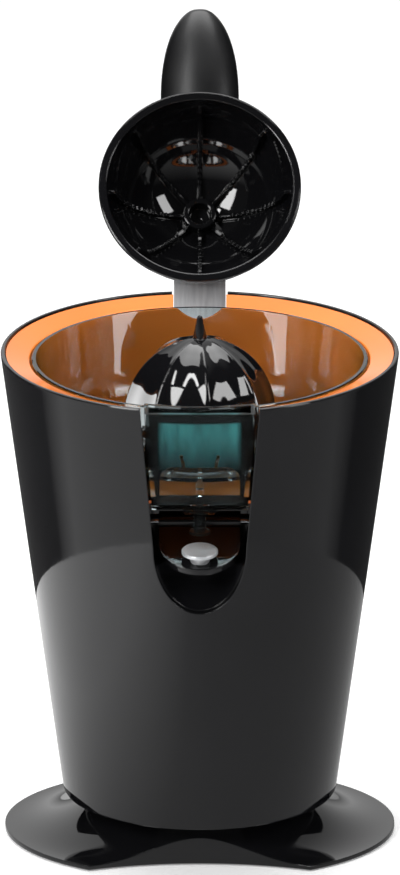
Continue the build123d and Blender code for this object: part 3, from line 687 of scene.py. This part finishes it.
def dome_curve(inset, steps=40, first=0.0):
    """The dome's outline from its foot to its crown, moved inwards by inset."""
    radius, height = DOME_R - inset, DOME_DEPTH - 1 - inset
    angles = [first + (math.pi / 2 - first) * i / steps for i in range(steps + 1)]
    return [(max(radius * math.cos(a), 0.0), DOME_Z + 1 + height * math.sin(a)) for a in angles]


def make_dome(finish):
    outer = dome_curve(0, 40, 0.06)
    inner = []
    for r, z in dome_curve(DOME_WALL, 60):
        inner.append((r, z) if r > 34.2 or r < 1e-6 else (max(r - 0.35, 0.3), z - 0.25))
    out = DOME_LIP_R
    lip = [(44.9, 215.4), (45.2, 215.1), (45.6, DOME_Z), (out - 0.5, DOME_Z), (out, 215.4)]
    lip += [(out, 217.2), (48.5, 217.6), (47.1, 217.7)]
    shell = lathe("dome", lip + outer + inner[:0:-1], 256)
    arm_top_z = ARM_Z + ARM_T
    boss = block(-12.4, 12.4, 26, 50, arm_top_z, arm_top_z + 7)
    for side in (-1, 1):
        boss = cut(boss, rod(arm_top_z + 4.5, ARM_Z + 20, 3.1, side * 7, 42))
    hub = [(5.2, 252.5), (5.6, 252.1), (7.6, 252.1), (8, 252.5), (8, 260.6), (5.2, 260.6)]
    extras = [boss, lathe("hub", hub, 96)]
    rib_start, rib_end, steps = 0.16, 1.37, 240
    for i in range(RIDGES):
        edge = []
        for k in range(steps + 1):
            a = rib_start + (rib_end - rib_start) * k / steps
            r = (DOME_R - 5.4) * math.cos(a)
            z = DOME_Z + 1 + (DOME_DEPTH - 6.4) * math.sin(a)
            if 15 < r < 36:
                tooth = 0.75 * (1 + math.sin(a * 95))
                r, z = r + tooth * math.cos(a), z + tooth * math.sin(a)
            edge.append((r, z))
        back = [(r, z) for r, z in dome_curve(1.0, 40) if z > edge[0][1] and r > edge[-1][0]]
        rib = prism("rib", "y", edge + back[::-1], -0.9, 0.9)
        rib.data.transform(Matrix.Rotation(i * 2 * math.pi / RIDGES, 4, "Z"))
        extras.append(rib)
    show(stack(shell, *extras), "press_dome", finish, turn=OPENED, body="lever")


def make_grip(upper, node, finish):
    reach = GRIP_ROOT_Y - GRIP_TIP_Y
    steps = 72
    rings = []
    stations = [-0.62 + 0.031 * i for i in range(20)]
    stations += [math.sin(math.pi / 2 * i / 40) for i in range(41)]
    for share in stations:
        swell = (1 - max(share, 0) ** 2.3) ** 0.5 if share < 0.995 else 0.0
        width = GRIP_HALF_W * swell * (1 - 0.18 * max(-share, 0))
        depth = GRIP_HALF_T * (0.25 + 0.75 * swell) * min(1, swell * 3)
        y = GRIP_ROOT_Y - min(reach * share, reach - 0.8)
        if share >= 0.995:
            rings.append([(0, y, GRIP_Z)])
            break
        oval = [(width * math.cos(a), depth * math.sin(a)) for a in turn_angles(steps)]
        rings.append([(x, y, GRIP_Z + z) for x, z in oval])
    body = rings_to_solid("grip", [[(0, rings[0][0][1], GRIP_Z)]] + rings)
    dome = lathe("dome", dome_curve(-0.1) + [(0, DOME_Z), (DOME_R, DOME_Z)], 128)
    gap = 0.12
    low, high = (-30, gap) if upper else (-gap, 30)
    half = block(-40, 40, -120, 0, GRIP_Z + low, GRIP_Z + high)
    body = cut(body, dome, half)
    if upper:
        for i in range(2):
            body = cut(body, rod(GRIP_Z + 6.0, GRIP_Z + 20, 3.1, 0, -63 + 10 * i))
    show(body, node, finish, turn=OPENED, body="lever")


def base_level(share, inset=0.0, drop=0.0):
    half_x = BASE_HALF_X + (BASE_NECK_R - BASE_HALF_X) * share - inset
    half_y = BASE_HALF_Y + (BASE_NECK_R - BASE_HALF_Y) * share - inset
    z = BASE_EDGE_Z + (TUB_Z - BASE_EDGE_Z) * share**2.4 - drop
    return [(half_x * math.cos(a), half_y * math.sin(a), z) for a in turn_angles(256)]


def base_solid(shares, inset, drop, low):
    rings = [base_level(share, inset, drop) for share in shares]
    foot = [(x, y, low) for x, y, z in rings[0]]
    top_z = rings[-1][0][2]
    return rings_to_solid("base", [[(0, 0, low)], foot] + rings + [[(0, 0, top_z)]])


def make_base(finish):
    body = base_solid([i / 40 for i in range(41)], 0, 0, BASE_Z)
    hollow = base_solid([0.4 + 0.025 * i for i in range(21)], 1.5, 2.3, BASE_Z - 1)
    centre_y = BASE_CUT_Y - BASE_CUT_R
    hollow = cut(hollow, rod(-5, 40, BASE_CUT_R + 2.4, 0, centre_y, 512))
    body = cut(body, rod(-5, 40, BASE_CUT_R, 0, centre_y, 512), hollow, rod(0, 40, 28))
    for x in (-66, 66):
        for y in (-42, 42):
            body = cut(body, rod(0, 1.6, 6.0, x, y))
    show(body, "base_plate", finish)


def tilted(y, z, slope):
    return Matrix.Translation((0, y, z)) @ Matrix.Rotation(math.radians(slope), 4, "X")


def make_drip(finish, metal):
    reach = DRIP_Y - PAD_Y + 10.2
    tilt = tilted(DRIP_Y, DRIP_Z, DRIP_SLOPE)
    arc = [math.pi + math.pi * i / 96 for i in range(97)]
    end_y = -reach + DRIP_HALF_W

    def tongue_line(w):
        return [(w * math.cos(a), end_y + w * math.sin(a)) for a in arc]

    outer, inner = tongue_line(DRIP_HALF_W), tongue_line(DRIP_HALF_W - 1.4)
    plate = prism("tongue", "z", outer + [(DRIP_HALF_W, 0), (-DRIP_HALF_W, 0)], -2.6, 0)
    rim = prism("rim", "z", outer + inner[::-1], -0.1, 0.8)
    plate.data.transform(tilt)
    rim.data.transform(tilt)
    barrel = cross_rod(-DRIP_HALF_W, DRIP_HALF_W, DRIP_Y, DRIP_Z, 2.6)
    show(stack(plate, rim, barrel), "drip_stop", finish, body="drip")
    disc = [(0, -6), (4.7, -6), (4.7, -1.6), (PAD_R, -1.6), (PAD_R, -0.5), (PAD_R - 0.5, 0), (0, 0)]
    pad = lathe("pad", disc, 128)
    pad.data.transform(tilted(PAD_Y, PAD_Z, 7))
    show(pad, "drip_pad", metal, body="drip")


# ---- finishes --------------------------------------------------------------------------------
def clear_blue():
    """Clear tinted plastic; a painted cyan glow on the splash wall inside the spout box stands in
    for the light the box gathers.
    """
    material = clear_plastic("clear_blue", (0.86, 0.95, 0.96), (0.25, 0.62, 0.68))
    nodes, link = material.node_tree.nodes, material.node_tree.links.new
    shader = nodes["Principled BSDF"]
    split = object_axes(nodes, link)

    def band(axis, low_0, low_1, high_1, high_0):
        curve = nodes.new("ShaderNodeValToRGB")
        span = nodes.new("ShaderNodeMapRange")
        span.inputs["From Min"].default_value = low_0
        span.inputs["From Max"].default_value = high_0
        link(split.outputs[axis], span.inputs["Value"])
        elements = curve.color_ramp.elements
        elements[0].position, elements[0].color = 0.0, (0, 0, 0, 1)
        elements[1].position, elements[1].color = 1.0, (0, 0, 0, 1)
        for at in (low_1, high_1):
            step = elements.new((at - low_0) / (high_0 - low_0))
            step.color = (1, 1, 1, 1)
        link(span.outputs[0], curve.inputs[0])
        return curve.outputs[0]

    # Painted glow: a cyan emission patch on the splash wall inside the spout box, broken into noise
    # streaks.
    across = band("X", -0.0200, -0.0175, 0.0175, 0.0200)
    along = band("Y", -0.0810, -0.0805, -0.0700, -0.0690)
    up = band("Z", 0.204, 0.224, 0.2285, 0.2295)
    wall = product(nodes, link, product(nodes, link, across, along), up)
    painted_glow_amount = nodes.new("ShaderNodeMath")
    painted_glow_amount.operation = "MULTIPLY"
    painted_glow_amount.inputs[1].default_value = 0.24
    link(wall, painted_glow_amount.inputs[0])
    painted_glow_streaks = spread(nodes, link, noise(nodes, link, 160, 2, (1.6, 0.2, 0.35)), 0.45, 1.15)
    glow = product(nodes, link, painted_glow_amount.outputs[0], painted_glow_streaks)
    # Painted shade: the clear wall behind the spout box is darkened nearly to black.
    painted_shade_low = band("Z", 0.1700, 0.1885, 0.2360, 0.2362)
    painted_shade_front = band("Y", -0.0813, -0.0811, -0.0700, -0.0690)
    painted_shade_across = band("X", -0.0262, -0.0255, 0.0255, 0.0262)
    painted_shade = product(nodes, link, product(nodes, link, painted_shade_low, painted_shade_across), painted_shade_front)
    # The box sends back less of the studio than the bowl does.
    box_front = band("Y", -0.0960, -0.0950, -0.0690, -0.0670)
    box_across = band("X", -0.0280, -0.0275, 0.0275, 0.0280)
    bend = nodes.new("ShaderNodeMapRange")
    bend.inputs["To Min"].default_value = PLASTIC_IOR
    bend.inputs["To Max"].default_value = BOX_IOR
    link(product(nodes, link, box_front, box_across), bend.inputs["Value"])
    link(bend.outputs[0], shader.inputs["IOR"])
    # Mixes the painted shade's near-black colour into the base colour.
    painted_shade_mix = nodes.new("ShaderNodeMix")
    painted_shade_mix.data_type = "RGBA"
    painted_shade_mix.inputs[7].default_value = (0.004, 0.006, 0.006, 1)
    link(shader.inputs["Base Color"].links[0].from_socket, painted_shade_mix.inputs[6])
    link(painted_shade, painted_shade_mix.inputs[0])
    link(painted_shade_mix.outputs[2], shader.inputs["Base Color"])
    # Colour of the painted glow; its strength comes from the patch above.
    shader.inputs["Emission Color"].default_value = (0.12, 0.62, 0.62, 1)
    link(glow, shader.inputs["Emission Strength"])
    return material


def make_finishes():
    """Finishes by slot name: two colours, roughness, grain, bump, rounded edge, metal."""
    darkest = (0.004, 0.004, 0.0045)
    plastics = {
        "gloss_black": (darkest, (0.006, 0.006, 0.007), (0.02, 0.05), 220, 0.015, 0.0009),
        "satin_black": (darkest, (0.007, 0.007, 0.0075), (0.27, 0.34), 900, 0.08, 0.0004),
        "gloss_orange": (
            (0.86, 0.205, 0.028), (0.93, 0.245, 0.04), (0.05, 0.09), 200, 0.03, 0.0004
        ),
        "gear_plastic": ((0.70, 0.68, 0.62), (0.80, 0.78, 0.72), (0.35, 0.5), 500, 0.08, 0.0002),
        "satin_metal": (
            (0.62, 0.63, 0.65), (0.70, 0.71, 0.73), (0.30, 0.40), 700, 0.12, 0.0003, 0.55
        ),
        "aluminium": ((0.62, 0.63, 0.65), (0.74, 0.75, 0.77), (0.35, 0.5), 400, 0.15, 0.0, 1.0),
        "motor_iron": ((0.14, 0.14, 0.15), (0.22, 0.22, 0.23), (0.4, 0.55), 600, 0.2, 0.0, 0.8),
        "copper": ((0.62, 0.26, 0.12), (0.78, 0.36, 0.18), (0.25, 0.4), 900, 0.3, 0.0, 1.0),
        "brass": ((0.66, 0.47, 0.18), (0.76, 0.57, 0.24), (0.2, 0.32), 400, 0.1, 0.0, 1.0),
        "rubber": ((0.012, 0.012, 0.012), (0.022, 0.022, 0.022), (0.6, 0.75), 800, 0.2),
    }
    steels = {
        "brushed_steel": ((0.66, 0.67, 0.69), (0.86, 0.87, 0.89), (8, 1, 1), (0.30, 0.38), 0.35),
        "steel": ((0.48, 0.48, 0.50), (0.62, 0.62, 0.64), (1, 1, 30), (0.18, 0.3)),
    }
    made = {name: moulded(name, *values) for name, values in plastics.items()}
    made.update((name, brushed(name, *values)) for name, values in steels.items())
    made["clear_blue"] = clear_blue()
    return made


# ---- the object ------------------------------------------------------------------------------
finishes = make_finishes()
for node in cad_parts.values():
    for holder in node.material_slots:
        holder.material = finishes[holder.material.name.split(".")[0]]

black = finishes["gloss_black"]
make_housing(black)
make_liner(finishes["gloss_orange"])
make_niche(black)
make_container(finishes["clear_blue"])
make_cone(black)
make_dome(black)
make_grip(True, "handle_upper_shell", finishes["satin_black"])
make_grip(False, "handle_lower_shell", finishes["satin_black"])
make_spring(finishes["steel"])
make_base(black)
make_drip(black, finishes["satin_metal"])
make_studio()
make_camera()
bpy.context.scene.view_settings.view_transform = "Standard"
